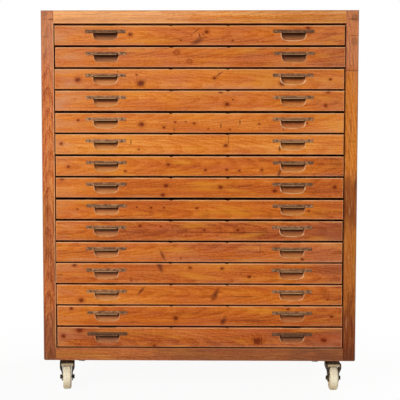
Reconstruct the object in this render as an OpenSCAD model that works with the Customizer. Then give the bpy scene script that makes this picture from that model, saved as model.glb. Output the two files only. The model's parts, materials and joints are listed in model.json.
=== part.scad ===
// Flat file cabinet: a pine plan chest of shallow drawers on four swivel casters.
// Millimetres. X runs along the front, -Y is the front, +Z is up.
// The origin is on the floor, under the middle of the cabinet.

/* [Case] */
// Width of the case over its corner posts
case_w = 1000; // [900:10:1200]
// Depth of the case from the face of its posts to the back of its boards
case_d = 668; // [640:2:760]
// Height of the case without its casters
case_h = 1111; // [1050:1:1300]
// Width of a corner post, seen from the front
post_w = 40; // [36:1:50]
// Depth of a corner post, seen from the side
post_d = 46; // [44:1:60]
// Height of each rail
rail_h = 40; // [36:1:56]
// Thickness of the front and rear rails
rail_t = 28; // [26:1:32]
// Thickness of the panels in the side frames
panel_t = 10; // [8:1:12]
// Thickness of the top panel
top_t = 18; // [12:1:22]
// Thickness of the bottom panel
bottom_t = 12; // [9:1:15]
// Thickness of the back boards
back_t = 12; // [10:1:15]
// Number of back boards
back_board_count = 8; // [5:1:10]

/* [Drawers] */
// Number of drawers
drawer_count = 15; // [10:1:15]
// Gap between one drawer front and the next
drawer_gap = 4.5; // [3:0.5:6]
// Gap between the top rail and the top drawer
top_gap = 4; // [3:0.5:8]
// Gap between the bottom rail and the bottom drawer
bottom_gap = 4; // [2:0.5:6]
// Gap at each end of a drawer front
end_gap = 3.5; // [2.5:0.5:4]
// Thickness of a drawer front
front_t = 22; // [20:1:26]
// Thickness of a drawer side
side_t = 16; // [15:1:18]
// Thickness of a drawer bottom
drawer_bottom_t = 5; // [4:0.5:6]
// Number of dovetails at each front corner of a drawer
tail_count = 2; // [2:1:3]
// Most wood planed off the top edge of a drawer front to free it
planed_max = 3; // [0:0.5:3]
// Farthest that a drawer sits to one side of its opening
drift_max = 1.5; // [0:0.5:1.5]

/* [Pulls] */
// Distance from the middle of a drawer to the middle of each pull
pull_x = 296; // [240:1:320]
// Distance from the top edge of a drawer front to its pulls
pull_drop = 16.5; // [14:0.5:18]
// Length of a pull over its two end tabs
pull_len = 128; // [116:1:140]
// Height of the end tabs
pull_h = 10.5; // [9:0.5:12]
// Length of the lip between the tabs
lip_len = 76; // [66:1:80]
// How far the lip stands out from the drawer front
lip_out = 12; // [11:0.5:14]
// Width of the finger scoop under the lip
scoop_w = 78; // [70:1:82]
// Depth of the finger scoop in the wood
scoop_depth = 12; // [9:0.5:13]

/* [Casters] */
// Height of a caster from the floor to its plate
caster_h = 104; // [102:1:110]
// Diameter of a wheel
wheel_d = 80; // [75:1:80]
// Width of a wheel at its hub
wheel_w = 28; // [24:1:28]
// Distance from the swivel axis to the axle
trail = 28; // [24:1:30]
// Angle at which the front left caster stands, turned about its swivel axis
left_swivel = 8; // [-45:1:45]
// Angle at which the front right caster stands
right_swivel = 0; // [-45:1:45]
// Angle at which the two rear casters stand
rear_swivel = -20; // [-45:1:45]
// Distance from the sides of the case to the swivel axes
caster_inset = 64; // [60:1:100]
// Distance from the front of the case to the swivel axes of the front casters
front_inset = 78; // [76:1:120]
// Distance from the back of the case to the swivel axes of the rear casters
rear_inset = 125; // [60:1:150]

/* [Hidden] */
$fn = 64;
eps = 1;
fit = 0.1;
run_fit = 0.05;

// Case: the main planes, then the joints
front_y = -(case_d - lip_out) / 2;
back_y = front_y + case_d;
case_z = caster_h;
top_z = case_z + case_h;
outer_x = case_w / 2;
inner_x = outer_x - post_w;
board_y = back_y - back_t;
rear_rail_y = board_y - rail_t;
frame_y0 = front_y + post_d;
frame_y1 = back_y - post_d;
side_rail_z = [case_z, case_z + (case_h - rail_h) / 2, top_z - rail_h];
mid_rail_t = 24;
panel_x = outer_x - panel_t - 10;
panel_groove = 8;
tenon_t = 10;
tenon_len = 24;
side_tenon_len = 14;
post_edge_r = 3;
foot_r = 6;
rebate = 9;
bearer_w = 70;
board_w = 2 * inner_x / back_board_count;
board_gap = 0.4;
tongue_t = 4;
tongue_len = 5;
board_vee = 2.5;

// Drawers: the opening that they fill, the boxes, then what carries them
opening_z = case_z + rail_h;
opening_h = case_h - 2 * rail_h;
pitch = (opening_h - top_gap - bottom_gap + drawer_gap) / drawer_count;
front_h = pitch - drawer_gap;
top_drawer_z = opening_z + opening_h - top_gap - front_h;
drawer_w = 2 * (inner_x - end_gap);
stop_len = 16;
stop_w = 15;
stop_h = 12;
drawer_len = case_d - back_t - stop_len;
side_lift = 4;
side_h = front_h - 2 * side_lift;
side_x = drawer_w / 2 - side_t;
box_groove = 5;
bottom_lift = 6;
bottom_z = side_lift + bottom_lift;
box_back_t = 12;
box_back_y = drawer_len - 6 - box_back_t;
muntin_w = 60;
front_lap = 7;
front_edge_r = 2;
tail_pitch = side_h / tail_count;
tail_root = 0.56 * tail_pitch;
tail_tip = 0.76 * tail_pitch;
runner_h = 14;
runner_slack = 1;
runner_groove = 8.5;
runner_play = drift_max + 0.5;
runner_w = end_gap + runner_groove - runner_play;
runner_top = side_lift + (side_h + runner_h) / 2;
runner_front = front_t + 2;
dip_x = 90;
dip_r = 9;
dip_depth = 2.5;

// How each drawer was fitted by hand, from the top one down, as shares of the most
planed_share = [1, 0.7, 0.5, 0.3, 0.9, 0.3, 0.6, 0.4, 1, 0.6, 0.4, 0, 0.2, 0.1, 0.4];
drift_share = [-0.3, 1, -0.7, 0, -0.3, -0.3, 0.3, 0, 0.3, -0.7, -0.7, -1, -0.3, 0.7, 0.7];

// Pulls and the scoops under them
sheet_t = 2;
bead_r = 1.6;
lip_r = lip_out - 2;
lip_taper = 5;
fold_h = 3.5;
tab_corner = 2.5;
screw_x = (lip_len + pull_len) / 4;
screw_r = 2;
screw_head_r = 3.6;
scoop_drop = 26;
scoop_r = (scoop_depth * scoop_depth + scoop_drop * scoop_drop) / (2 * scoop_depth);
scoop_axis_out = scoop_r - scoop_depth;
scoop_axis_z = -8;
scoop_top = -4;
scoop_end_r = 0.49 * scoop_r;
scoop_end_in = scoop_r - scoop_end_r;
scoop_flat = scoop_w / 2 - sqrt(pow(scoop_end_r, 2) - pow(scoop_axis_out - scoop_end_in, 2));

// Casters
caster_x = outer_x - caster_inset;
wheel_r = wheel_d / 2;
plate_t = 3;
plate_w = 60;
plate_l = 66;
plate_hole_r = 3;
plate_hole_inset = 8;
pin_r = 6;
pin_head_r = 9;
pin_head_t = 3.6;
head_r = 24;
crown_t = 4;
crown_z = wheel_d + 3;
crown_front = -(trail + 22);
visor_t = 3;
visor_h = 7;
race_gap = 0.5;
race_h = (caster_h - plate_t - crown_z - crown_t - race_gap) / 2;
leg_t = 3;
leg_gap = 1;
leg_in = wheel_w / 2 + leg_gap;
leg_head_in = head_r - leg_t;
leg_bend_z = wheel_r + 15;
leg_bend_h = 20;
leg_boss_r = 13;
leg_fold = 3;
axle_r = 4;
axle_nut_r = 7;
axle_nut_t = 5.5;
hub_r = 12;
web_half = 6;
rim_r = 29;
tread_half = wheel_w / 2 - 0.5;
tread_round = 7;

CASTERS = ["front_left", "front_right", "rear_left", "rear_right"];

// Finish colours
pine = "peru";
raw_pine = "burlywood";
iron = "dimgray";
zinc = "darkkhaki";
ivory = "cornsilk";

function two_digits(i) = str(i < 10 ? "0" : "", i);
function drawer_name(i) = str("drawer_", two_digits(i));
function pulls_name(i) = str("pulls_", two_digits(i));
function drawer_z(i) = top_drawer_z - (i - 1) * pitch;
function drawer_at(i) = [drift_max * drift_share[i - 1], front_y, drawer_z(i)];
function caster_at(k) = [
    k % 2 == 0 ? -caster_x : caster_x,
    k < 2 ? front_y + front_inset : back_y - rear_inset,
    0
];
function caster_turn(k) = [left_swivel, right_swivel, rear_swivel, rear_swivel][k];

// Shared shapes

// A box given by its lowest and highest corners
module block(lo, hi) {
    translate(lo) cube(hi - lo);
}

// A flat outline in Y and Z, pushed along X
module along_x(length) {
    rotate([90, 0, 90]) linear_extrude(length) children();
}

// The right-hand shape (side 1), or its mirror image (side -1)
module on_side(side) {
    mirror([side < 0 ? 1 : 0, 0, 0]) children();
}

module on_both_sides() {
    on_side(1) children();
    on_side(-1) children();
}

// A rectangle from the origin with its corner at [size.x, 0] rounded
module rounded_foot(size, r) {
    translate([0, r]) square([size.x, size.y - r]);
    square([size.x - r, size.y]);
    translate([size.x - r, r]) circle(r);
}

// Case: each shape below is the right-hand one

module post_blank(y) {
    block([inner_x, y, case_z], [outer_x, y + post_d, top_z]);
}

// The tenon of a front or rear rail whose face is at y and underside at z
module rail_tenon(y, z) {
    inset = (rail_t - tenon_t) / 2;
    block(
        [inner_x, y + inset, z + panel_groove],
        [inner_x + tenon_len, y + inset + tenon_t, z + rail_h - panel_groove]
    );
}

// A bar that leaves a tenon at each end of a side rail
module side_rail_tenons(z) {
    block(
        [panel_x, frame_y0 - side_tenon_len, z + panel_groove],
        [panel_x + panel_t, frame_y1 + side_tenon_len, z + rail_h - panel_groove]
    );
}

// Panel 0 lies under the middle rail and panel 1 above it
module side_panel(n) {
    block(
        [panel_x, frame_y0 - panel_groove, side_rail_z[n] + rail_h - panel_groove],
        [panel_x + panel_t, frame_y1 + panel_groove, side_rail_z[n + 1] + panel_groove]
    );
}

module side_frame_joints() {
    for (z = side_rail_z) side_rail_tenons(z);
    for (n = [0, 1]) side_panel(n);
}

// A post with its face at y = 0: the long outer edge is eased and the foot is worn round
module post_body() {
    intersection() {
        linear_extrude(case_h) rounded_foot([post_w, post_d], post_edge_r);
        translate([0, post_d, 0]) rotate([90, 0, 0])
            linear_extrude(post_d) rounded_foot([post_w, case_h], foot_r);
    }
}

// A front post (back 0) or a rear post (back 1), whose rail has its face at rail_y
module post(back, rail_y) {
    color(pine) difference() {
        translate([inner_x, back ? back_y : front_y, case_z]) mirror([0, back, 0]) post_body();
        rail_tenon(rail_y, case_z);
        rail_tenon(rail_y, top_z - rail_h);
        side_frame_joints();
    }
}

// The top panel before its corners are notched around the posts
module top_slab() {
    block(
        [-inner_x - rebate, front_y + rail_t - rebate, top_z - top_t],
        [inner_x + rebate, rear_rail_y + rebate, top_z]
    );
}

// A front or rear rail, with a tenon at each end and a rebate for the top
module rail(y, z) {
    color(pine) difference() {
        union() {
            block([-inner_x, y, z], [inner_x, y + rail_t, z + rail_h]);
            on_both_sides() rail_tenon(y, z);
        }
        top_slab();
    }
}

module rear_rails() {
    rail(rear_rail_y, case_z);
    rail(rear_rail_y, top_z - rail_h);
}

module side_rails() {
    for (n = [0:2]) {
        z = side_rail_z[n];
        depth = n == 1 ? mid_rail_t : post_w;
        color(pine) difference() {
            union() {
                translate([outer_x - depth, frame_y1, z]) rotate([90, 0, 0])
                    linear_extrude(frame_y1 - frame_y0)
                        rounded_foot([depth, rail_h], n == 0 ? foot_r : post_edge_r);
                side_rail_tenons(z);
            }
            for (p = [0, 1]) side_panel(p);
            top_slab();
        }
    }
}

module side_panels() {
    color(pine) for (n = [0, 1]) side_panel(n);
}

module top_panel() {
    color(pine) difference() {
        top_slab();
        on_both_sides() {
            post_blank(front_y);
            post_blank(back_y - post_d);
        }
    }
}

module bottom_panel() {
    color(raw_pine) block(
        [-inner_x, front_y + rail_t, opening_z - bottom_t],
        [inner_x, rear_rail_y, opening_z]
    );
}

// Section of back board n: a tongue on its right, a groove on its left, and eased back edges
module back_board_outline(n) {
    tongue_y = (back_t - tongue_t) / 2;
    difference() {
        union() {
            translate([board_gap / 2, 0]) square([board_w - board_gap, back_t]);
            if (n < back_board_count - 1)
                translate([board_w - eps, tongue_y]) square([tongue_len + eps, tongue_t]);
        }
        if (n > 0)
            translate([0, tongue_y - fit])
                square([tongue_len + board_gap + fit, tongue_t + 2 * fit]);
        for (x = [board_gap / 2, board_w - board_gap / 2])
            translate([x, back_t]) rotate(45) square(board_vee, center = true);
    }
}

module back_boards() {
    color(pine) for (n = [0:back_board_count - 1])
        translate([-inner_x + n * board_w, board_y, case_z])
            linear_extrude(case_h) back_board_outline(n);
}

module caster_bearers() {
    color(raw_pine) on_both_sides() block(
        [inner_x - bearer_w, front_y + rail_t, case_z],
        [inner_x, rear_rail_y, opening_z - bottom_t]
    );
}

// One hardwood runner for each drawer, screwed to the front and rear posts
module runners() {
    color(raw_pine) for (i = [1:drawer_count])
        translate([0, front_y, drawer_z(i)]) block(
            [inner_x - runner_w, runner_front, runner_top - runner_h],
            [inner_x, case_d - back_t, runner_top]
        );
}

// Blocks on the runners' rear ends, which stop each drawer flush with the posts
module drawer_stops() {
    color(raw_pine) on_both_sides() for (i = [1:drawer_count])
        translate([0, front_y, drawer_z(i)]) block(
            [inner_x - stop_w, drawer_len, runner_top],
            [inner_x, case_d - back_t, runner_top + stop_h]
        );
}

// Drawers: each shape has the face of the front at y = 0 and its lower edge at z = 0

// Dovetails of a drawer side, seen from the end of the front; grow is the slack of their sockets
module tails_outline(grow) {
    for (k = [0:tail_count - 1])
        translate([0, side_lift + (k + 0.5) * tail_pitch]) polygon([
            [front_lap + fit - grow, -tail_tip / 2 - grow],
            [front_t + eps, -tail_root / 2 - grow],
            [front_t + eps, tail_root / 2 + grow],
            [front_lap + fit - grow, tail_tip / 2 + grow]
        ]);
}

// Bottom panel, or with grow the groove that holds it
module drawer_bottom(grow) {
    reach = side_x + box_groove - fit + grow;
    block(
        [-reach, front_t - box_groove + fit - grow, bottom_z - grow],
        [reach, box_back_y + box_back_t + eps * sign(grow), bottom_z + drawer_bottom_t + grow]
    );
}

// Back of the box, or with grow the housings that hold it
module drawer_back(grow) {
    reach = side_x + box_groove - fit + grow;
    block(
        [-reach, box_back_y - grow, bottom_z + drawer_bottom_t + fit],
        [reach, box_back_y + box_back_t + grow, side_lift + side_h + eps * sign(grow)]
    );
}

// Runs front to back under the bottom and keeps it from sagging
module drawer_muntin() {
    block(
        [-muntin_w / 2, front_t + fit, side_lift],
        [muntin_w / 2, box_back_y + box_back_t, bottom_z - fit]
    );
}

module drawer_side() {
    difference() {
        translate([side_x, 0, 0]) along_x(side_t) union() {
            translate([front_t + fit, side_lift]) square([drawer_len - front_t - fit, side_h]);
            tails_outline(0);
        }
        block(
            [drawer_w / 2 - runner_groove, front_t + fit, runner_top - runner_h - runner_slack],
            [drawer_w / 2 + eps, drawer_len + eps, runner_top]
        );
        drawer_bottom(fit);
        block(
            [side_x - eps, box_back_y, bottom_z - fit],
            [side_x + box_groove, drawer_len + eps, bottom_z + drawer_bottom_t + fit]
        );
        drawer_back(fit);
    }
}

// A drum with round ends, cut flat under the pull, that carves the finger scoop
module scoop_cutter() {
    intersection() {
        translate([0, -scoop_axis_out, scoop_axis_z]) rotate([0, 90, 0]) rotate_extrude() {
            translate([0, -scoop_flat]) square([scoop_r, 2 * scoop_flat]);
            for (side = [-1, 1]) translate([scoop_end_in, side * scoop_flat]) circle(scoop_end_r);
        }
        block([-scoop_w, -scoop_r, -2 * scoop_r], [scoop_w, scoop_r, scoop_top]);
    }
}

// Section of a drawer front, with its face at x = 0 and both corners of the face eased
module eased_section(width) {
    r = front_edge_r;
    translate([r, 0]) square([front_t - r, width]);
    translate([0, r]) square([front_t, width - 2 * r]);
    for (v = [r, width - r]) translate([r, v]) circle(r);
}

module drawer_front_blank(height) {
    intersection() {
        translate([-drawer_w / 2, 0, 0]) along_x(drawer_w) eased_section(height);
        linear_extrude(height) translate([drawer_w / 2, 0]) rotate(90) eased_section(drawer_w);
    }
}

// A drawer front that was planed to that height
module drawer_front(height) {
    difference() {
        drawer_front_blank(height);
        drawer_bottom(fit);
        on_both_sides() {
            translate([side_x - fit, 0, 0]) along_x(side_t + eps) tails_outline(fit);
            translate([pull_x, 0, front_h - pull_drop]) scoop_cutter();
            translate([dip_x, -eps, height + dip_r - dip_depth])
                rotate([-90, 0, 0]) cylinder(r = dip_r, h = front_t + 2 * eps);
        }
    }
}

module drawer(i) {
    translate(drawer_at(i)) {
        color(pine) drawer_front(front_h - planed_max * planed_share[i - 1]);
        color(raw_pine) {
            on_both_sides() drawer_side();
            drawer_back(0);
            drawer_bottom(0);
            drawer_muntin();
        }
    }
}

// Pulls: the top edge of the strip is at z = 0, and the drawer front is at y = 0

module tab_outline() {
    half_l = pull_len / 2 - tab_corner;
    square([2 * half_l, pull_h], center = true);
    square([pull_len, pull_h - 2 * tab_corner], center = true);
    for (x = [-half_l, half_l], z = [tab_corner - pull_h / 2, pull_h / 2 - tab_corner])
        translate([x, z]) circle(tab_corner);
}

module screw_hole() {
    rotate([90, 0, 0]) {
        translate([0, 0, -eps]) cylinder(r = screw_r, h = sheet_t + 2 * eps);
        translate([0, 0, sheet_t - (screw_head_r - screw_r)])
            cylinder(r1 = screw_r, r2 = screw_head_r, h = screw_head_r - screw_r);
    }
}

// Flat strip with a tab at each end, cleared in the middle below its fold
module pull_strip() {
    difference() {
        translate([0, 0, -pull_h / 2]) rotate([90, 0, 0]) linear_extrude(sheet_t) tab_outline();
        block([-lip_len / 2, -sheet_t - eps, -pull_h - eps], [lip_len / 2, eps, -fold_h]);
        for (side = [-1, 1]) translate([side * screw_x, 0, -pull_h / 2]) screw_hole();
    }
}

// Lip that sweeps out of the strip in a quarter turn, with a rolled edge and narrowed ends
module pull_lip() {
    intersection() {
        union() {
            translate([-lip_len / 2, -lip_r, 0]) rotate([0, 90, 0]) rotate_extrude(angle = 90)
                translate([lip_r - sheet_t, 0]) square([sheet_t, lip_len]);
            translate([-lip_len / 2, bead_r - lip_out, bead_r / 2 - lip_r])
                rotate([0, 90, 0]) cylinder(r = bead_r, h = lip_len);
        }
        translate([0, 0, -2 * lip_out]) linear_extrude(2 * lip_out + eps) polygon([
            [-lip_len / 2, eps],
            [lip_len / 2, eps],
            [lip_len / 2, -sheet_t],
            [lip_len / 2 - lip_taper, -lip_out - eps],
            [lip_taper - lip_len / 2, -lip_out - eps],
            [-lip_len / 2, -sheet_t]
        ]);
    }
}

module pull() {
    pull_strip();
    pull_lip();
}

module pulls(i) {
    color(iron) for (side = [-1, 1])
        translate(drawer_at(i) + [side * pull_x, 0, front_h - pull_drop]) pull();
}

// Casters: each shape stands on the floor with its swivel axis at x = 0, y = 0

// Plate with the upper race and the kingpin, whose head holds the fork up
module caster_plate() {
    difference() {
        block([-plate_w / 2, -plate_l / 2, caster_h - plate_t], [plate_w / 2, plate_l / 2, caster_h]);
        for (x = [-1, 1], y = [-1, 1])
            translate([
                x * (plate_w / 2 - plate_hole_inset),
                y * (plate_l / 2 - plate_hole_inset),
                caster_h - plate_t - eps
            ]) cylinder(r = plate_hole_r, h = plate_t + 2 * eps);
    }
    translate([0, 0, crown_z + crown_t + race_h + race_gap])
        cylinder(r1 = head_r - 4, r2 = head_r - 1, h = race_h);
    translate([0, 0, crown_z - pin_head_t]) cylinder(r = pin_r, h = caster_h - plate_t - crown_z);
    translate([0, 0, crown_z - race_gap - pin_head_t])
        cylinder(r1 = pin_r, r2 = pin_head_r, h = pin_head_t);
}

module caster_plates() {
    color(zinc) for (k = [0:3]) translate(caster_at(k)) caster_plate();
}

function smooth(t) = t * t * (3 - 2 * t);

// Inner face of a fork leg at height z: close to the wheel below the bend, wide above it
function leg_x(z) =
    leg_in + (leg_head_in - leg_in) * smooth(max(0, min(1, (z - leg_bend_z) / leg_bend_h)));

// Section of the right leg, seen from the front
module leg_section() {
    bend = [for (s = [0:0.125:1]) leg_bend_z + s * leg_bend_h];
    heights = concat([0], bend, [crown_z + crown_t]);
    polygon(concat(
        [for (z = heights) [leg_x(z), z]],
        [for (k = [len(heights) - 1:-1:0]) [leg_x(heights[k]) + leg_t, heights[k]]]
    ));
}

// Outline of a leg, seen from the side: wide at the crown, round at the axle
module leg_outline() {
    top = crown_z + crown_t;
    translate([-trail, wheel_r]) circle(leg_boss_r);
    polygon([
        [crown_front, top],
        [head_r / 2, top],
        [head_r / 2, crown_z - crown_t],
        [leg_boss_r - trail, wheel_r],
        [-leg_boss_r - trail, wheel_r],
        [crown_front, crown_z - visor_h]
    ]);
}

// Section of the right leg's front edge, which is folded in towards the wheel above the bend
module leg_fold_section() {
    heights = [for (s = [1:-0.125:0]) leg_bend_z + s * leg_bend_h];
    polygon(concat(
        [[leg_in, leg_bend_z], [leg_in, crown_z], [leg_head_in + leg_t, crown_z]],
        [for (z = heights) [leg_x(z) + leg_t, z]]
    ));
}

module fork_leg() {
    intersection() {
        translate([0, 2 * head_r, 0]) rotate([90, 0, 0]) linear_extrude(6 * head_r) leg_section();
        along_x(2 * head_r) leg_outline();
    }
    intersection() {
        translate([0, 2 * head_r, 0]) rotate([90, 0, 0]) linear_extrude(6 * head_r) leg_fold_section();
        along_x(2 * head_r) difference() {
            leg_outline();
            translate([leg_fold, 0]) leg_outline();
        }
    }
}

module crown_outline() {
    circle(head_r);
    translate([-head_r, crown_front]) square([2 * head_r, -crown_front]);
}

module fork() {
    difference() {
        union() {
            translate([0, 0, crown_z]) linear_extrude(crown_t) crown_outline();
            translate([0, 0, crown_z + crown_t]) cylinder(r1 = head_r, r2 = head_r - 3, h = race_h);
            block(
                [-leg_head_in, crown_front, crown_z + crown_t - visor_h],
                [leg_head_in, crown_front + visor_t, crown_z + crown_t]
            );
            on_both_sides() fork_leg();
        }
        cylinder(r = pin_r + run_fit, h = caster_h);
        translate([-2 * head_r, -trail, wheel_r])
            rotate([0, 90, 0]) cylinder(r = axle_r, h = 4 * head_r);
    }
}

// Axle bolt with a hexagon at each end, outside the legs
module axle() {
    shank = 2 * (leg_in + leg_t);
    translate([-shank / 2, -trail, wheel_r]) rotate([0, 90, 0]) {
        cylinder(r = axle_r, h = shank);
        for (x = [-axle_nut_t, shank]) translate([0, 0, x]) cylinder(r = axle_nut_r, h = axle_nut_t, $fn = 6);
    }
}

// Section of a wheel: hub, web, rim and a tread with rounded edges, less the bore
module wheel_section() {
    bore_r = axle_r + run_fit;
    flat_half = tread_half - tread_round;
    translate([bore_r, -wheel_w / 2]) square([hub_r - bore_r, wheel_w]);
    translate([bore_r, -web_half]) square([rim_r - bore_r, 2 * web_half]);
    translate([rim_r, -tread_half]) square([wheel_r - tread_round - rim_r, 2 * tread_half]);
    translate([rim_r, -flat_half]) square([wheel_r - rim_r, 2 * flat_half]);
    for (x = [-flat_half, flat_half]) translate([wheel_r - tread_round, x]) circle(tread_round);
}

module wheel() {
    translate([0, -trail, wheel_r]) rotate([0, 90, 0]) rotate_extrude() wheel_section();
}

module at_caster(k) {
    translate(caster_at(k)) rotate([0, 0, caster_turn(k)]) children();
}

// One line for each node, or for each row of like nodes

on_side(-1) post(0, front_y);  // front_left_post
on_side(1) post(0, front_y);  // front_right_post
on_both_sides() post(1, rear_rail_y);  // rear_posts
rail(front_y, top_z - rail_h);  // front_top_rail
rail(front_y, case_z);  // front_bottom_rail
rear_rails();
on_side(-1) side_rails();  // left_side_rails
on_side(1) side_rails();  // right_side_rails
on_side(-1) side_panels();  // left_side_panels
on_side(1) side_panels();  // right_side_panels
top_panel();
bottom_panel();
back_boards();
on_side(-1) runners();  // left_runners
on_side(1) runners();  // right_runners
drawer_stops();
caster_bearers();
caster_plates();
for (i = [1:drawer_count]) {
    drawer(i);
    pulls(i);
}
for (k = [0:3]) {
    at_caster(k) color(zinc) fork();
    at_caster(k) color(zinc) axle();
    at_caster(k) color(ivory) wheel();
}
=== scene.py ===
"""Pine flat file cabinet: its finishes, its screws and nails, the camera, the lights and the floor."""

import json
import math
from typing import NamedTuple

import bmesh
import bpy
from mathutils import Matrix, Quaternion, Vector

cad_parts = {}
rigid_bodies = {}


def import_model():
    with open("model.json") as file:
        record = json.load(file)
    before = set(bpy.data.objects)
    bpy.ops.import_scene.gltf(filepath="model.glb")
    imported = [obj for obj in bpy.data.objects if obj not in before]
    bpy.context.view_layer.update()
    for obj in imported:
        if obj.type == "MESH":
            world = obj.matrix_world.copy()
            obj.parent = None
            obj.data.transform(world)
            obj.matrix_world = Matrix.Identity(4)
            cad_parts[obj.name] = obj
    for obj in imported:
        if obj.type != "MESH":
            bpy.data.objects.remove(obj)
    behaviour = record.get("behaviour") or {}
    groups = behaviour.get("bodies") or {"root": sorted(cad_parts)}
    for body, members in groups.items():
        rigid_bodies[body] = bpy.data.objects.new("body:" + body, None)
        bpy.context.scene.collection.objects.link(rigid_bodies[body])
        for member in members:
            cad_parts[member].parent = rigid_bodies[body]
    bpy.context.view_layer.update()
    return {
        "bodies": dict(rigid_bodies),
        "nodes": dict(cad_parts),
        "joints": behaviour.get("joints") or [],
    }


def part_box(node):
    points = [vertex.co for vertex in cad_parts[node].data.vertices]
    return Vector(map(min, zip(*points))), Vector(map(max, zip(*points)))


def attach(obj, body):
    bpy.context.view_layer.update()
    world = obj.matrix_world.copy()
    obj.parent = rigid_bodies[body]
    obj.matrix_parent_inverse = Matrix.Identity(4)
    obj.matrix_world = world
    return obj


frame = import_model()

# Planes of the case, in millimetres as the finishes use them, and the number of boards in its back
MM = 0.001
FRONT_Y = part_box("front_left_post")[0].y / MM
BACK_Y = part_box("back_boards")[1].y / MM
TOP_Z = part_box("top_panel")[1].z / MM
CASE_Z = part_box("front_left_post")[0].z / MM
INNER_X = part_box("front_right_post")[0].x / MM
OUTER_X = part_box("front_right_post")[1].x / MM
POST_X = (INNER_X + OUTER_X) / 2
OPENING_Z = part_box("front_bottom_rail")[1].z / MM
OPENING_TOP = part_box("front_top_rail")[0].z / MM
BACK_BOARDS = 8

# A drawer's boards: how thick its front is, how much of that hides the dovetails, how thick its sides are
FRONT_T = 22
FRONT_LAP = 7
SIDE_T = 16

# The pulls and scoops of a drawer: how far they are from its middle, half the width of a scoop, the height
# of its axis above the drawer's lower edge, its depth below that axis, and the power that shapes its rim
PULL_X = 296
SCOOP_HALF = 39
SCOOP_AXIS = 39.5
SCOOP_DROP = 26
SCOOP_ROUND = 3.6

# The crown of a caster's fork, which joins its legs: its foot and top above the floor, and half its width
CROWN_FOOT = 78
CROWN_TOP = 89
CROWN_HALF = 20.5

# The distance from the axle at which the tread of a wheel is fully reached
TREAD_R = 38

# The heart of a log, where a board doesn't say: across its face, and behind the front of the cabinet
HEART = (30, 70)

# The drawers, counted from the top, that get more haze at their left ends: handling wear and a painted
# sheen
HANDLED_AND_SHEEN_DRAWERS = 6

DRAWERS = sorted(body for body in frame["bodies"] if body.startswith("drawer_"))
SWIVELS = [joint for joint in frame["joints"] if joint["name"].endswith("_swivel")]
ROLLS = {joint["name"]: joint for joint in frame["joints"] if joint["name"].endswith("_roll")}
RIGHT = Vector((1, 0, 0))
BACK = Vector((0, 1, 0))
UP = Vector((0, 0, 1))


class Front(NamedTuple):
    """How a drawer front has aged, and how much painted highlight and shade its pulls and scoops get."""
    stain: float
    left_stain: float
    right_stain: float
    dust: float
    rubbed_pulls: float
    soiled_scoops: float
    left_rim: float
    right_rim: float


# Drawer fronts from the top one down. A stain of 0 is pale amber and 1 is dark russet, and its two ends
# add to it or take from it. The rest are shares: dust in the varnish, patina rubbed off the pulls and a
# painted highlight on their lips, dirt and painted shade in the scoops, and bare wood and a painted
# highlight round the left and the right scoop.
FRONTS = (
    Front(0.50, 0.05, 0.13, 0.09, 0.25, 0.85, 0.35, 0.90),
    Front(0.57, -0.04, 0.41, 0.12, 0.42, 0.85, 0.30, 0.50),
    Front(0.37, 0.00, -0.06, 0.11, 0.50, 0.20, 0.60, 1.00),
    Front(0.41, -0.08, 0.07, 0.09, 0.70, 0.25, 0.45, 0.60),
    Front(0.41, -0.06, -0.37, 0.06, 0.75, 0.30, 0.60, 0.80),
    Front(0.20, 0.04, 0.12, 0.02, 0.80, 0.25, 0.45, 0.60),
    Front(0.53, -0.06, 0.36, 0.00, 0.50, 0.35, 0.30, 0.60),
    Front(0.62, -0.18, 0.06, 0.00, 0.50, 0.45, 0.60, 0.80),
    Front(0.62, -0.28, 0.10, 0.00, 0.50, 0.35, 0.50, 0.60),
    Front(0.74, -0.10, 0.33, 0.06, 0.60, 0.50, 0.50, 0.80),
    Front(0.65, -0.12, 0.06, 0.13, 0.55, 0.40, 0.40, 0.50),
    Front(0.64, -0.16, 0.32, 0.06, 0.60, 0.50, 0.50, 0.70),
    Front(0.43, -0.10, 0.39, 0.00, 0.70, 0.40, 0.50, 0.70),
    Front(0.67, -0.26, 0.12, 0.01, 0.55, 0.50, 0.30, 0.30),
    Front(0.72, 0.02, 0.30, 0.09, 0.10, 0.80, 0.30, 0.50),
)

# Knots in each drawer front: right of its middle, above its lower edge, radius
KNOTS = {
    1: ((-218, 33, 6), (-59, 15, 3), (12, 33, 3), (22, 41, 6), (104, 14, 3), (341, 53, 6)),
    3: ((-384, 29, 8), (-186, 18, 10), (-198, 44, 3), (47, 34, 5), (260, 18, 8), (412, 30, 4)),
    4: ((67, 59, 5), (87, 20, 7), (105, 35, 3), (405, 60, 6), (398, 16, 5)),
    5: ((-384, 39, 4), (-183, 26, 8), (-112, 16, 4), (-77, 33, 3), (-43, 34, 2.5), (-17, 29, 4),
        (28, 12, 2.5), (97, 10, 2.5), (189, 27, 3), (340, 29, 3)),
    6: ((-438, 33, 5), (-192, 15, 3), (84, 28, 6)),
    7: ((-416, 29, 5), (-235, 15, 4), (-98, 36, 5), (20, 19, 4), (87, 20, 4), (127, 16, 4), (198, 19, 4)),
    8: ((-437, 60, 6), (-106, 38, 7), (-116, 8, 6), (67, 33, 6), (239, 22, 6), (429, 34, 7)),
    9: ((-388, 31, 3), (-199, 38, 3), (-153, 36, 4), (-113, 36, 3), (-8, 35, 4), (347, 26, 3)),
    10: ((-189, 47, 5), (-123, 45, 3), (16, 33, 4), (122, 34, 5)),
    11: ((-59, 12, 3), (330, 9, 4)),
    12: ((-399, 58, 6), (-217, 9, 3), (-128, 60, 6), (-29, 50, 5), (73, 48, 5), (159, 22, 5)),
    13: ((-378, 13, 8), (411, 18, 3)),
    14: ((-410, 55, 5), (-75, 25, 8), (75, 14, 5), (284, 55, 4), (423, 31, 5)),
    15: ((-384, 55, 11), (-436, 34, 7), (-144, 3, 5), (188, 20, 12), (399, 23, 9)),
}

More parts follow.
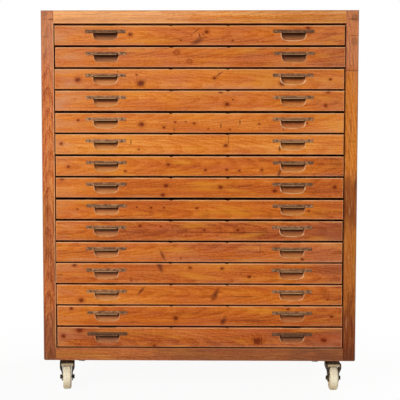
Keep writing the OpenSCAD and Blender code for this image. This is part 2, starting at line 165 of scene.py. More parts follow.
# Faint knots, of which little more than a ring shows, in the same way
FAINT_KNOTS = {
    2: ((-72, 46, 8), (-31, 18, 7)),
    13: ((47, 26, 9),),
}

# Cracks, ticks and scratches in each drawer front: the middle of each as above, then its half length,
# its half height and how far it leans to the right as it rises
MARKS = {
    3: ((-258, 55, 1.5, 5, 0.0),),
    5: ((128, 33, 2.2, 10, 0.0), (68, 22, 2.4, 9, 0.0), (-80, 9, 2.2, 7, 0.0), (265, 9, 2, 4, 0.0)),
    6: ((-217, 39, 2, 9, 0.0), (92, 47, 1.2, 17, 0.0), (254, 18, 4, 9, 0.0)),
    10: ((-430, 20, 30, 1.2, 0.0), (110, 26, 160, 1.2, 0.0)),
    11: ((194, 42, 1.2, 19, 0.0), (326, 11, 2, 8, 0.0), (175, 33, 55, 1.0, 0.0)),
    12: ((-446, 26, 14, 1.6, 0.0),),
    13: ((141, 26, 45, 1.3, 0.0),),
    14: ((-210, 12, 14, 1.5, 0.0),),
    15: ((178, 20, 2, 14, 0.0), (200, 20, 1.5, 14, 0.0)),
}

# Soft dark traces of branches in the drawer fronts, in the same way
BRANCHES = {
    1: ((-7, 11, 15, 12, 1.0), (-10, 44, 3, 8, 1.2), (0, 29, 3, 8, -0.2)),
    3: ((-183, 17, 9, 9, 0.5), (62, 46, 4, 9, 1.2)),
    7: ((254, 12, 6, 14, 0.3),),
    11: ((-117, 21, 5, 17, -0.45),),
    12: ((-124, 50, 8, 16, -0.3),),
    13: ((-186, 44, 6, 13, 0.8), (52, 34, 8, 20, 0.5)),
    14: ((78, 16, 8, 14, 0.4),),
}


def paint(red, green, blue):
    """A colour as it is seen, 0 to 255 each, in the linear form that shaders take."""
    linear = []
    for level in (red, green, blue):
        share = level / 255
        linear.append(share / 12.92 if share < 0.04045 else ((share + 0.055) / 1.055) ** 2.4)
    return (*linear, 1.0)


# Stains of the pine from pale to dark, each with its place from 0 to 1
STAINS = (
    (0.0, paint(238, 172, 97)),
    (0.25, paint(228, 143, 58)),
    (0.5, paint(210, 117, 35)),
    (0.75, paint(190, 93, 22)),
    (1.0, paint(146, 65, 24)),
)

# Bare pine in the same way
RAW_TONES = (
    (0.0, paint(226, 184, 132)),
    (0.45, paint(208, 158, 104)),
    (1.0, paint(170, 112, 64)),
)

# Tints in the stain, and the colours of the pine's flaws, of its wear and of its dirt, some of them also
# painted highlight and shade at edges, in gaps and in scoops
OCHRE = paint(218, 140, 36)
ROSE = paint(190, 92, 46)
KNOT_RED = paint(156, 64, 10)
KNOT_DARK = paint(108, 32, 0)
CRACK_DARK = paint(68, 24, 4)
BRANCH = paint(108, 46, 20)
BARE_EDGE_AND_HIGHLIGHT = paint(236, 178, 126)
RUBBED_PALE = paint(246, 192, 140)
GRIME = paint(84, 52, 38)
GAP_DIRT_AND_SHADE = paint(172, 60, 18)
WORN_HAZE = paint(196, 136, 102)
ARRIS_WEAR_AND_SHADE = paint(150, 110, 86)
AGED_BROWN = paint(116, 68, 46)
SCOOP_DIRT_AND_SHADE = paint(116, 76, 56)
SCOOP_HIGHLIGHT = paint(242, 176, 106)
SCOOP_RIM_BARE_AND_HIGHLIGHT = paint(242, 190, 140)
SCOOP_SHADOW = paint(70, 36, 16)

# Iron of the pulls: its patina, where that is rubbed, the worn lip with a painted highlight, and the rust
PULL_PATINA = paint(92, 58, 36)
PULL_RUBBED = paint(166, 118, 78)
PULL_LIP_WEAR_AND_HIGHLIGHT = paint(182, 146, 106)
PULL_RUST = paint(112, 68, 46)

# Zinc of the casters and steel of the screws from dark to pale, in the same way as the stains
ZINC_TONES = ((0.3, paint(44, 34, 24)), (0.55, paint(70, 56, 38)), (0.75, paint(104, 88, 62)))
# A painted highlight for the crown of a fork, then the colour of its scuffs
ZINC_CROWN_HIGHLIGHT = paint(192, 172, 136)
ZINC_SCUFF = paint(150, 134, 104)
STEEL_TONES = ((0.35, paint(72, 48, 32)), (0.65, paint(132, 96, 66)))

# Nylon of the wheels: clean and aged, its dirt, painted shade at its rounded shoulders, its darker foot and
# a tread painted black as shade
NYLON_CLEAN = paint(252, 245, 222)
NYLON_AGED = paint(246, 231, 192)
NYLON_DIRT = paint(176, 150, 110)
NYLON_SHOULDER_SHADE = paint(206, 182, 138)
NYLON_FOOT = paint(198, 168, 110)
TREAD_SHADE_BLACK = paint(40, 24, 18)

# The floor in the same way, and the white that it fades to
FLOOR_TONES = ((0.3, paint(232, 232, 232)), (0.7, paint(238, 238, 238)))
WHITE = (1.0, 1.0, 1.0, 1.0)


def operator_pair(operation):
    """A Math operation as an operator, and its reflected form, for a plain number on the left."""
    def forward(self, other):
        return self.math(operation, self, other)

    def reflected(self, other):
        return self.math(operation, other, self)

    return forward, reflected


class Value:
    """A number that varies over a surface. Operators on it add Math nodes to its finish."""

    __add__, __radd__ = operator_pair("ADD")
    __sub__, __rsub__ = operator_pair("SUBTRACT")
    __mul__, __rmul__ = operator_pair("MULTIPLY")
    __truediv__, __rtruediv__ = operator_pair("DIVIDE")
    __pow__, __rpow__ = operator_pair("POWER")
    __mod__, __rmod__ = operator_pair("FLOORED_MODULO")

    def __init__(self, finish, socket):
        self.finish = finish
        self.socket = socket

    def math(self, operation, left, right=0.0):
        return self.finish.node("Math", {"operation": operation}, {0: left, 1: right})

    def __abs__(self):
        return self.math("ABSOLUTE", self)

    def least(self, other):
        return self.math("MINIMUM", self, other)

    def most(self, other):
        return self.math("MAXIMUM", self, other)


def set_stops(ramp, stops):
    """Gives a colour ramp its stops, each a place from 0 to 1 and a colour."""
    while len(ramp.elements) < len(stops):
        ramp.elements.new(1.0)
    for element, (place, colour) in zip(ramp.elements, stops):
        element.position = place
        element.color = colour


class Nodes:
    """The nodes of a material or of the world."""

    def __init__(self, tree):
        self.tree = tree

    def node(self, kind, settings, sockets, output=0):
        """Adds a node with its settings and sockets, and returns its output, or a tuple of outputs."""
        node = self.tree.nodes.new("ShaderNode" + kind)
        for name, setting in settings.items():
            if name == "stops":
                set_stops(node.color_ramp, setting)
            else:
                setattr(node, name, setting)
        self.plug(node, sockets)
        if isinstance(output, tuple):
            return tuple(Value(self, node.outputs[name]) for name in output)
        return Value(self, node.outputs[output])

    def plug(self, node, sockets):
        """Links the sockets that vary over the surface and sets the rest."""
        for name, value in sockets.items():
            if isinstance(value, Value):
                self.tree.links.new(value.socket, node.inputs[name])
            else:
                node.inputs[name].default_value = value

    def show_white(self, lit, white, share=1.0):
        """The lit shader, but white by that share to the camera and in reflections."""
        rays = ("Is Camera Ray", "Is Glossy Ray", "Is Transmission Ray")
        camera, glossy, through = self.node("LightPath", {}, {}, rays)
        seen = camera.most(glossy).most(through)
        return self.node("MixShader", {}, {0: seen * share, 1: lit, 2: white})


class Finish(Nodes):
    """The nodes of one material, and where a point lies on the cabinet at rest, in millimetres."""

    def __init__(self, name):
        self.material = bpy.data.materials.new(name)
        self.material.use_nodes = True
        super().__init__(self.material.node_tree)
        self.shader = self.tree.nodes["Principled BSDF"]
        metres = self.node("TexCoord", {}, {}, "Object")
        self.place = self.node("VectorMath", {"operation": "SCALE"}, {0: metres, "Scale": 1 / MM})
        self.x, self.y, self.z = self.node("SeparateXYZ", {}, {0: self.place}, ("X", "Y", "Z"))

    def dress(self, sockets):
        """Sets the shader's sockets and returns the material."""
        self.plug(self.shader, sockets)
        return self.material

    def point(self, x, y, z):
        return self.node("CombineXYZ", {}, {"X": x, "Y": y, "Z": z})

    def noise(self, place, detail=3.0, rough=0.55):
        sockets = {"Vector": place, "Scale": 1.0, "Detail": detail, "Roughness": rough}
        return self.node("TexNoise", {}, sockets)

    def speckle(self, size, shift, detail=3.0, rough=0.55):
        """Noise in patches of that size along x, y and z, taken from that many patches further on."""
        scale = tuple(1 / length for length in size)
        sockets = {0: self.place, 1: scale, 2: shift}
        place = self.node("VectorMath", {"operation": "MULTIPLY_ADD"}, sockets)
        return self.noise(place, detail, rough)

    def smooth(self, value, low, high):
        """0 below low, 1 above high, and an even curve between; high may be the lower of the two."""
        sockets = {"Value": value, "From Min": low, "From Max": high}
        return self.node("MapRange", {"interpolation_type": "SMOOTHSTEP"}, sockets)

    def mix(self, share, first, second):
        """A colour between two: the first where share is 0, the second where it is 1."""
        return self.node("Mix", {"data_type": "RGBA"}, {0: share, 6: first, 7: second}, 2)

    def ramp(self, value, stops):
        return self.node("ValToRGB", {"stops": stops}, {0: value})

    def bump(self, height, depth, strength):
        """Normals of a surface that rises by depth, in millimetres, where height is 1."""
        sockets = {"Height": height, "Distance": depth * MM, "Strength": strength}
        return self.node("Bump", {}, sockets)


class Board:
    """A sawn pine board in a finish: places along its grain, across its face and through it."""

    # How many patches of noise lie between one seed and the next, along the grain and across it
    SEED_ALONG = 7.31
    SEED_ACROSS = 3.17
    # Boards side by side come from one log: the length of each, and how many lengths on the next one is
    LOG_LENGTH = 730.0
    LOG_STEP = 3.0
    # Knots are drawn out along the grain: their width as a share of their length
    KNOT_WIDTH = 0.8

    def __init__(self, finish, grain, seed, heart=HEART, foot=0.0, boards=None):
        """The heart of the log is given across the face and behind the cabinet's front.

        boards is the left edge of a row of boards and the width of each.
        """
        x, y, z = finish.x, finish.y, finish.z
        self.finish = finish
        self.seed = seed
        self.along, self.across, self.deep = {"X": (x, z - foot, y), "Y": (y, x, z), "Z": (z, x, y)}[grain]
        self.heart_across, self.heart_deep = heart
        if boards is not None:
            edge, width = boards
            number = self.along.math("FLOOR", (self.across - edge) / width)
            self.along = self.along + self.LOG_LENGTH * (self.LOG_STEP * number % BACK_BOARDS)
            self.across = self.across - width * number

    def noise(self, length, width, detail=3.0, rough=0.55):
        """Noise drawn out along the grain: length and width are the size of its patches."""
        along = self.along / length + self.SEED_ALONG * self.seed
        across = self.across / width + self.SEED_ACROSS * self.seed
        return self.finish.noise(self.finish.point(along, across, self.deep / width), detail, rough)

    def swing(self, length, width, detail=3.0, rough=0.55):
        """The same noise, to both sides of 0."""
        return self.noise(length, width, detail, rough) - 0.5

    def rings(self, ring_gap=3.2, near_knot=None):
        """Growth rings round the heart of a tapered log: 0 in pale spring wood, 1 in a dark summer line."""
        sway = 40 * self.swing(420, 300, 1.0)
        taper = 0.05 * self.along
        reach_across = self.across - self.heart_across + sway
        reach_deep = self.deep - FRONT_Y + self.heart_deep + taper
        radius = (reach_across ** 2.0 + reach_deep ** 2.0) ** 0.5
        count = radius / ring_gap + 1.2 * self.noise(160, 18)
        if near_knot is not None:
            count = count + 2.0 * self.finish.smooth(near_knot, 2.6, 0.6)
        turn = count % 1.0
        return self.finish.smooth(turn, 0.25, 0.9) * self.finish.smooth(turn, 1.0, 0.93)

    def specks(self, cell, share, size):
        """Small dark pits, one in that share of the cells of a loose grid drawn out along the grain."""
        along = self.along / (1.6 * cell) + self.seed
        place = self.finish.point(along, self.across / cell, self.deep / cell)
        sockets = {"Vector": place, "Scale": 1.0}
        distance, colour = self.finish.node("TexVoronoi", {}, sockets, ("Distance", "Color"))
        chance = self.finish.node("SeparateColor", {}, {0: colour})
        chosen = self.finish.smooth(chance, share, share - 0.02)
        return self.finish.smooth(distance, size, 0.4 * size) * chosen

    def knots(self, places):
        """Distance to the nearest knot, as a share of its radius, with ragged edges."""
        ragged = 0.9 * self.swing(9, 9, 2.0)
        spot = self.finish.point(self.KNOT_WIDTH * self.along, self.across, 0.0)
        nearest = None
        for along, across, radius in places:
            centre = (self.KNOT_WIDTH * along, across, 0.0)
            gap = self.finish.node("VectorMath", {"operation": "DISTANCE"}, {0: spot, 1: centre}, "Value")
            share = gap / radius
            nearest = share if nearest is None else nearest.least(share)
        return nearest + ragged

    def marks(self, places, outer=1.25, inner=0.55):
        """1 in the cracks, ticks and scratches, 0 elsewhere. They fade out from inner to outer."""
        waver = 2.5 * self.swing(14, 14, 2.0)
        nearest = None
        for along, across, half_length, half_height, lean in places:
            up = self.across + 0.5 * waver - across
            right = self.along + waver - along - lean * up
            gap = ((right / half_length) ** 2.0 + (up / half_height) ** 2.0) ** 0.5
            nearest = gap if nearest is None else nearest.least(gap)
        return self.finish.smooth(nearest, outer, inner)


def stained_pine(board, stain, dust, lively=1.0, near_knot=None):
    """Stained pine, its rings bent round its knots: its colour, its height and its fibre."""
    finish = board.finish
    rings = board.rings(near_knot=near_knot)
    blotch = board.swing(300, 60)
    streak = board.swing(420, 9, 3.0, 0.6)
    line = board.swing(170, 3.2, 3.0, 0.65)
    mottle = board.swing(9, 3.6, 3.0, 0.65)
    fibre = board.noise(34, 1.3, 3.0, 0.6)
    grain = lively * (0.9 * line + mottle + 0.18 * (rings - 0.35) + 0.2 * (fibre - 0.5))
    depth = stain + blotch + 0.8 * streak + grain
    colour = finish.ramp(0.25 + 0.75 * depth, STAINS)
    hue = board.noise(140, 24, 2.0, 0.5)
    colour = finish.mix(0.55 * finish.smooth(hue, 0.5, 0.22), colour, OCHRE)
    colour = finish.mix(0.55 * finish.smooth(hue, 0.5, 0.78), colour, ROSE)
    colour = finish.mix(dust - 0.42 * grain, colour, WORN_HAZE)
    dash = finish.smooth(board.noise(26, 2.0, 2.0), 0.62, 0.72)
    pits = board.specks(17, 0.18, 0.13).most(0.6 * dash)
    colour = finish.mix(0.6 * pits, colour, KNOT_DARK)
    return colour, 0.35 * fibre + 0.3 * rings - 0.5 * pits, fibre


def raw_pine(board):
    """Bare pine, yellowed with age: its colour and its height."""
    rings = board.rings(4.5)
    streak = board.swing(140, 7, 4.0, 0.6)
    fibre = board.noise(30, 1.2, 3.0, 0.6)
    depth = 0.36 + 0.5 * streak + 0.3 * (fibre - 0.5) + 0.4 * (rings - 0.35)
    return board.finish.ramp(depth, RAW_TONES), 0.5 * fibre + 0.3 * rings


def varnish(finish, colour, height, fibre, dull):
    """Thin old varnish: satin on the faces, dull where it is worn."""
    return finish.dress({
        "Base Color": colour,
        "Roughness": 0.40 + 0.12 * fibre + 0.22 * dull,
        "Specular IOR Level": 0.07,
        "Coat Weight": 0.03 - 0.02 * dull,
        "Coat Roughness": 0.3,
        "Normal": finish.bump(height, 0.35, 0.6),
    })


class DrawerFinish(Finish):
    """The finish of a drawer, and how far a point is from the edges of its front and behind its face."""

    def __init__(self, number):
        super().__init__(f"drawer_{number:02d}_pine")
        low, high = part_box(f"drawer_{number:02d}")
        self.lip_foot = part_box(f"pulls_{number:02d}")[0].z / MM
        self.number = number
        self.front = FRONTS[number - 1]
        # Each front is sawn from another part of its log
        heart = (12 + 23 * (number % 3), 46 + 17 * (number % 4))
        self.board = Board(self, "X", number, heart, low.z / MM)
        self.to_left = self.x - low.x / MM
        self.to_right = high.x / MM - self.x
        self.to_end = self.to_left.least(self.to_right)
        self.to_foot = self.board.across
        self.to_top = (high.z - low.z) / MM - self.to_foot
        self.cut = self.y - FRONT_Y
        self.ragged = 5.0 * self.board.swing(22, 6)

    def stained_front(self):
        """The stained front with its dust, a painted sheen at its left end, and its flaws: its colour, its
        height and its fibre.
        """
        front = self.front
        left_end = self.smooth(self.to_left, 180.0, 15.0)
        right_end = self.smooth(self.to_right, 160.0, 15.0)
        stain = front.stain + front.left_stain * left_end + front.right_stain * right_end
        cloud = self.smooth(self.board.noise(110, 26), 0.32, 0.66)
        dusty = self.smooth(self.to_foot + 3 * self.ragged, 13.0, 0.0)
        handled_sheen_share = 0.5 if self.number <= HANDLED_AND_SHEEN_DRAWERS else 0.25
        # Haze at the left end of each front: handling wear and a painted sheen, stronger on the upper
        # drawers
        handled_and_sheen = self.smooth(self.to_left + 12 * self.ragged, 120.0, 10.0) * handled_sheen_share
        hazy = front.dust * (0.3 + 1.3 * cloud) + 0.07 * right_end + cloud * (0.3 * dusty).most(handled_and_sheen)
        places = KNOTS.get(self.number)
        near_knot = self.board.knots(places) if places else None
        colour, height, fibre = stained_pine(self.board, stain, hazy, near_knot=near_knot)
        colour, height = self.add_flaws(colour, height, near_knot)
        return colour, height, fibre

    def add_flaws(self, colour, height, near_knot):
        """The front's knots, traces of branches, cracks and scratches, over its colour and its height."""
        if near_knot is not None:
            colour = self.mix(0.4 * self.smooth(near_knot, 2.2, 0.9), colour, KNOT_RED)
            heart = self.smooth(near_knot, 1.2, 0.4)
            colour = self.mix(0.9 * heart, colour, KNOT_DARK)
            height = height - 0.3 * heart
        if self.number in FAINT_KNOTS:
            ring = self.board.knots(FAINT_KNOTS[self.number])
            colour = self.mix(0.45 * self.smooth(abs(ring - 0.8), 0.6, 0.1), colour, KNOT_DARK)
            colour = self.mix(0.35 * self.smooth(ring, 1.8, 0.4), colour, KNOT_RED)
        if self.number in BRANCHES:
            trace = self.board.marks(BRANCHES[self.number], 1.5, 0.2)
            colour = self.mix(0.85 * trace, colour, BRANCH)
        if self.number in MARKS:
            crack = self.board.marks(MARKS[self.number])
            colour = self.mix(0.7 * crack, colour, CRACK_DARK)
            height = height - crack
        return colour, height

    def add_edges(self, colour):
        """Edges worn pale and given a painted highlight, most along the top, and dirt with painted shade in
        the gaps: the colour, and where the edges are worn and lit.
        """
        # Pale edges, most along the top: bare wood and a painted highlight
        worn_and_lit = self.smooth(self.to_top + 0.4 * self.ragged, 4.2, 1.4)
        worn_and_lit = worn_and_lit.most(0.4 * self.smooth(self.to_foot + 0.3 * self.ragged, 2.8, 0.8))
        worn_and_lit = worn_and_lit.most(0.5 * self.smooth(self.to_end + 0.4 * self.ragged, 3.5, 1.0))
        rubbed = 0.75 + 1.2 * self.board.swing(60, 40)
        colour = self.mix(worn_and_lit * rubbed, colour, BARE_EDGE_AND_HIGHLIGHT)
        # Faces inside the gaps between drawers darkened: dirt and painted shade
        edge = self.smooth(self.to_top.least(self.to_foot).least(self.to_end), 0.8, 0.3)
        in_gap = edge * self.smooth(self.cut, 1.4, 2.6)
        return self.mix(0.9 * in_gap, colour, GAP_DIRT_AND_SHADE), worn_and_lit

    def add_scoops(self, colour):
        """Haze, dirt with painted shade, a painted shadow under the lips, and bare wood with painted
        highlights in the two scoops: the colour, and where the scoops are.
        """
        front = self.front
        from_pull = abs(abs(self.to_left - self.to_right) / 2 - PULL_X)
        across = (from_pull / SCOOP_HALF) ** SCOOP_ROUND
        down = (abs(self.to_foot - SCOOP_AXIS) / SCOOP_DROP) ** SCOOP_ROUND
        from_axis = (across + down) ** (1 / SCOOP_ROUND)
        in_scoop = self.smooth(from_axis, 1.01, 0.98) * self.smooth(self.cut, 0.2, 0.7)
        on_right = self.smooth(self.x, -1.0, 1.0)
        colour = self.mix(in_scoop * (0.25 - 0.17 * on_right), colour, WORN_HAZE)
        # Dirt in the scoops with painted shade: darker towards the top of each scoop, under its lip
        soiled = front.soiled_scoops * self.smooth(self.to_foot + 2 * self.ragged, 12, 26)
        colour = self.mix(in_scoop * soiled, colour, SCOOP_DIRT_AND_SHADE)
        # A painted highlight on the lower part of each scoop, stronger in the left ones
        pale = (1.1 - front.soiled_scoops) * (0.55 - 0.2 * on_right)
        low_down = self.smooth(self.to_foot + self.ragged, 28, 15)
        colour = self.mix(pale * in_scoop * low_down, colour, SCOOP_HIGHLIGHT)
        # A painted shadow in each scoop just under the lip of its pull
        painted_lip_shadow = in_scoop * self.smooth(self.z + self.ragged, self.lip_foot - 13, self.lip_foot - 2)
        colour = self.mix(0.85 * painted_lip_shadow, colour, SCOOP_SHADOW)
        # A pale rim round the lower part of each scoop: bare wood and a painted highlight
        rim = self.smooth(abs(from_axis - 1.0) + 0.012 * self.ragged, 0.075, 0.015)
        rim = rim * self.smooth(self.to_foot, 40, 36)
        broken = 0.25 + 0.75 * self.smooth(self.board.noise(20, 14, 2.0), 0.38, 0.58)
        rim_share = front.left_rim + (front.right_rim - front.left_rim) * on_right
        return self.mix(rim_share * broken * rim, colour, SCOOP_RIM_BARE_AND_HIGHLIGHT), in_scoop

    def bare_box(self):
        """The bare boards behind the front: their colour, their height, and where they are."""
        heart = (20, 60)
        side_colour, side_height = raw_pine(Board(self, "Y", self.number + 0.4, heart))
        box_colour, box_height = raw_pine(Board(self, "X", self.number + 0.7, heart))
        is_side = self.smooth(self.to_end, SIDE_T + 0.1, SIDE_T - 0.1)
        colour = self.mix(is_side, box_colour, side_colour)
        height = box_height + is_side * (side_height - box_height)
        past_lap = self.smooth(self.cut, FRONT_LAP - 0.1, FRONT_LAP + 0.1)
        dovetails = past_lap * self.smooth(self.to_end, 0.8, 0.3)
        return colour, height, dovetails.most(self.smooth(self.cut, FRONT_T - 0.2, FRONT_T))


def drawer_pine(number):
    """A drawer: a stained front with edges worn and painted lighter as a highlight, scoops, and a bare box
    behind it.
    """
    finish = DrawerFinish(number)
    colour, height, fibre = finish.stained_front()
    colour, worn_and_lit = finish.add_edges(colour)
    colour, in_scoop = finish.add_scoops(colour)
    bare_colour, bare_height, bare = finish.bare_box()
    colour = finish.mix(bare, colour, bare_colour)
    height = height + bare * (bare_height - height)
    return varnish(finish, colour, height, fibre, bare.most(worn_and_lit).most(0.6 * in_scoop))


class Patch(NamedTuple):
    """An aged, rubbed or dirty patch of the case: its tint, the share of that, its middle and its size."""
    tint: tuple
    share: float
    x: float
    z: float
    half_width: float
    half_height: float


def post_band(tint, share, x, z, half_height):
    """A patch that is far wider than a post, so that it fades only up and down."""
    half_width = 400
    return Patch(tint, share, x, z, half_width, half_height)


def add_patches(board, colour, patches):
    """Patches in the colour, streaked along the grain and uneven round the edge."""
    finish = board.finish
    grainy = 0.92 + 1.5 * board.swing(120, 4, 3.0, 0.65)
    uneven = 0.9 * board.swing(60, 14)
    for patch in patches:
        across = (finish.x - patch.x) / patch.half_width
        up = (finish.z - patch.z) / patch.half_height
        near = finish.smooth((across ** 2.0 + up ** 2.0) ** 0.5 + uneven, 1.0, 0.4)
        colour = finish.mix(patch.share * grainy * near, colour, patch.tint)
    return colour


def add_splice(finish, colour, height, splice_z):
    """A seam at that height, with yellower wood below it."""
    below = finish.smooth(finish.z, splice_z + 0.5, splice_z - 0.5)
    seam = finish.smooth(abs(finish.z - splice_z), 2.2, 0.8)
    colour = finish.mix(0.3 * below, colour, OCHRE)
    return finish.mix(0.7 * seam, colour, CRACK_DARK), height - seam


def to_arris(finish):
    """Distance to the nearest outer edge of the case, where two of its faces meet."""
    to_level = (TOP_Z - finish.z).least(finish.z - CASE_Z)
    to_side = OUTER_X - abs(finish.x)
    to_face = (finish.y - FRONT_Y).least(BACK_Y - finish.y)
    return to_level.most(to_side).least(to_level.most(to_face)).least(to_side.most(to_face))


def to_opening(finish):
    """Distance to the edge of the opening for the drawers."""
    return (abs(finish.x) - INNER_X).most(finish.z - OPENING_TOP).most(OPENING_Z - finish.z)


def case_pine(name, grain, stain, seed, heart=HEART, marks=(), splice_z=None, patches=(), bare=0.4,
              rim=BARE_EDGE_AND_HIGHLIGHT, lively=1.0, dust=0.0, soiled=0.5, scores=0.2, boards=None):
    """Stained pine of the case, greyed at its outer edges by wear and painted shade.

    bare is the share of wear and painted highlight at the edge of the drawers' opening, or of painted shade
    where rim, its colour there, is dark. lively is how strong the grain is, soiled is the dirt at the foot,
    and scores are the fine scratches along the grain.
    """
    finish = Finish(name)
    board = Board(finish, grain, seed, heart, boards=boards)
    cloud = board.swing(260, 120, 2.0)
    low_down = finish.smooth(finish.z, 560.0, CASE_Z)
    colour, height, fibre = stained_pine(board, stain + 0.3 * low_down + 0.3 * cloud, dust, lively)
    if splice_z is not None:
        colour, height = add_splice(finish, colour, height, splice_z)
    if patches:
        colour = add_patches(board, colour, patches)
    scored = finish.smooth(board.noise(90, 2.4, 3.0, 0.6), 0.56, 0.70)
    colour = finish.mix(scores * scored, colour, CRACK_DARK)
    scraped = finish.smooth(board.noise(60, 2.6, 3.0, 0.6), 0.60, 0.74)
    colour = finish.mix(scores * scraped, colour, RUBBED_PALE)
    dirt = finish.smooth(finish.z + 70 * cloud, CASE_Z + 62, CASE_Z)
    colour = finish.mix(soiled * dirt, colour, GRIME)
    if marks:
        crack = board.marks(marks)
        colour = finish.mix(0.65 * crack, colour, CRACK_DARK)
        height = height - crack
    ragged = 4 * board.swing(20, 8)
    # Outer edges greyed: wear and the painted shade of their rounding
    outer = finish.smooth(to_arris(finish) + ragged, 4.5, 1.0)
    colour = finish.mix(0.5 * outer, colour, ARRIS_WEAR_AND_SHADE)
    # The edge along the drawers' opening: bare wood and a painted highlight, or painted shade where its rim
    # colour is dark
    on_face = finish.smooth(finish.y, FRONT_Y + 3, FRONT_Y + 1)
    inner = finish.smooth(to_opening(finish) + ragged, 3.2, 0.8) * on_face
    colour = finish.mix(bare * inner, colour, rim)
    return varnish(finish, colour, height, fibre, outer.most(inner).most(dirt))


def bare_pine(name, grain, seed):
    """Bare pine of the pieces that nobody looks at."""
    finish = Finish(name)
    board = Board(finish, grain, seed)
    colour, height = raw_pine(board)
    dust = finish.smooth(board.noise(120, 90), 0.45, 0.8)
    colour = finish.mix(0.3 * dust, colour, GRIME)
    return finish.dress({
        "Base Color": colour,
        "Roughness": 0.66 + 0.14 * dust,
        "Normal": finish.bump(height, 0.3, 0.6),
    })


def pull_iron(number):
    """Tarnished pressed iron: brown patina and rust, rubbed paler on the high spots, and its lip worn and
    painted lighter as a highlight.
    """
    finish = Finish(f"pull_{number:02d}_iron")
    seed = 40.0 * number
    patina = finish.speckle((12, 9, 6), (seed, 0, 0), 4.0, 0.6)
    grit = finish.speckle((2.2, 2.2, 2.2), (0, 0, seed), 3.0, 0.65)
    rust = finish.smooth(finish.speckle((11, 9, 6), (seed, 0, 0)), 0.58, 0.75)
    bright = FRONTS[number - 1].rubbed_pulls
    threshold = 0.72 - 0.36 * bright
    rubbed = finish.smooth(patina + 0.35 * (grit - 0.5), threshold - 0.22, threshold + 0.22)
    # The front of the lip painted lighter: wear and a painted highlight
    lip = finish.smooth(FRONT_Y - finish.y, 4.0, 9.0)
    colour = finish.mix(rubbed, PULL_PATINA, PULL_RUBBED)
    colour = finish.mix(0.9 * bright * lip, colour, PULL_LIP_WEAR_AND_HIGHLIGHT)
    colour = finish.mix(0.6 * rust, colour, PULL_RUST)
    return finish.dress({
        "Base Color": colour,
        "Metallic": 0.35 - 0.3 * rust,
        "Specular IOR Level": 0.25,
        "Roughness": 0.62 - 0.16 * rubbed + 0.12 * (grit - 0.5),
        "Normal": finish.bump(grit + 0.5 * patina, 0.25, 0.5),
    })


def along_axle(finish, corner):
    """Distance from the middle of a caster's wheel along its axle."""
    roll = ROLLS[f"{corner}_roll"]
    x, y, _ = roll["pos_m"]
    axis_x, axis_y, _ = roll["axis"]
    return (finish.x - x / MM) * axis_x + (finish.y - y / MM) * axis_y


def from_axle(finish, corner):
    """Distance from a caster's axle."""
    roll = ROLLS[f"{corner}_roll"]
    x, y, z = roll["pos_m"]
    axis_x, axis_y, _ = roll["axis"]
    forward = (finish.y - y / MM) * axis_x - (finish.x - x / MM) * axis_y
    return (forward ** 2.0 + (finish.z - z / MM) ** 2.0) ** 0.5


def caster_zinc(name, seed, corner=None):
    """Yellowed zinc plate, gone brown and scuffed, with a painted highlight on the crown of the fork at a
    corner.
    """
    finish = Finish(name)
    cloud = finish.speckle((18, 18, 14), (seed, 0, 0), 4.0, 0.6)
    scuff = finish.speckle((3, 3, 9), (0, seed, 0), 4.0, 0.7)
    colour = finish.ramp(cloud, ZINC_TONES)
    # A painted highlight on the crown between the fork's legs
    if corner is not None:
        above = finish.smooth(finish.z, CROWN_FOOT, CROWN_FOOT + 3)
        below = finish.smooth(finish.z, CROWN_TOP, CROWN_TOP - 3)
        between = finish.smooth(abs(along_axle(finish, corner)), CROWN_HALF, CROWN_HALF - 2.5)
        colour = finish.mix(0.8 * (above * below * between), colour, ZINC_CROWN_HIGHLIGHT)
    colour = finish.mix(0.5 * finish.smooth(scuff, 0.64, 0.74), colour, ZINC_SCUFF)
    return finish.dress({
        "Base Color": colour,
        "Metallic": 0.25,
        "Specular IOR Level": 0.25,
        "Roughness": 0.6 + 0.25 * (scuff - 0.5),
        "Normal": finish.bump(scuff, 0.15, 0.4),
    })


def wheel_nylon(name, seed, corner):
    """Aged ivory nylon, dirty, with painted shade at its shoulders and darker towards the floor. The rear
    wheels' treads are painted black as shade.
    """
    finish = Finish(name)
    shoulder = finish.smooth(abs(along_axle(finish, corner)), 6.0, 14.0)
    speck = finish.speckle((5, 5, 5), (0, seed, 0), 4.0, 0.65)
    cloud = finish.speckle((30, 30, 30), (seed, 0, 0))
    dirt = finish.smooth(speck * 0.5 + cloud * 0.5, 0.44, 0.68)
    # Darker towards the floor
    foot = finish.smooth(finish.z + 30 * (cloud - 0.5), 46, 6)
    colour = finish.mix(cloud, NYLON_CLEAN, NYLON_AGED)
    colour = finish.mix(0.2 * dirt, colour, NYLON_DIRT)
    # Painted shade at the rounded shoulders of the tread
    colour = finish.mix(0.3 * shoulder, colour, NYLON_SHOULDER_SHADE)
    colour = finish.mix(0.55 * foot, colour, NYLON_FOOT)
    if corner.startswith("rear"):
        # The rear wheels' treads painted black as shade under the cabinet
        tread = finish.smooth(from_axle(finish, corner) + 3 * (speck - 0.5), TREAD_R - 4, TREAD_R)
        colour = finish.mix(0.95 * tread, colour, TREAD_SHADE_BLACK)
    return finish.dress({
        "Base Color": colour,
        "Roughness": 0.38 + 0.3 * dirt,
        "Normal": finish.bump(speck, 0.2, 0.4),
    })


def screw_steel():
    """Old steel of the screw and nail heads, brown, with paler rubbed spots."""
    finish = Finish("screw_steel")
    grit = finish.speckle((3, 3, 3), (0, 0, 0), 4.0, 0.65)
    return finish.dress({
        "Base Color": finish.ramp(grit, STEEL_TONES),
        "Metallic": 0.2,
        "Specular IOR Level": 0.15,
        "Roughness": 0.5 + 0.3 * (grit - 0.5),
        "Normal": finish.bump(grit, 0.1, 0.4),
    })


def give_finish(node, material):
    """Gives a piece of the frame its finish."""
    slots = frame["nodes"][node].data.materials
    slots.clear()
    slots.append(material)


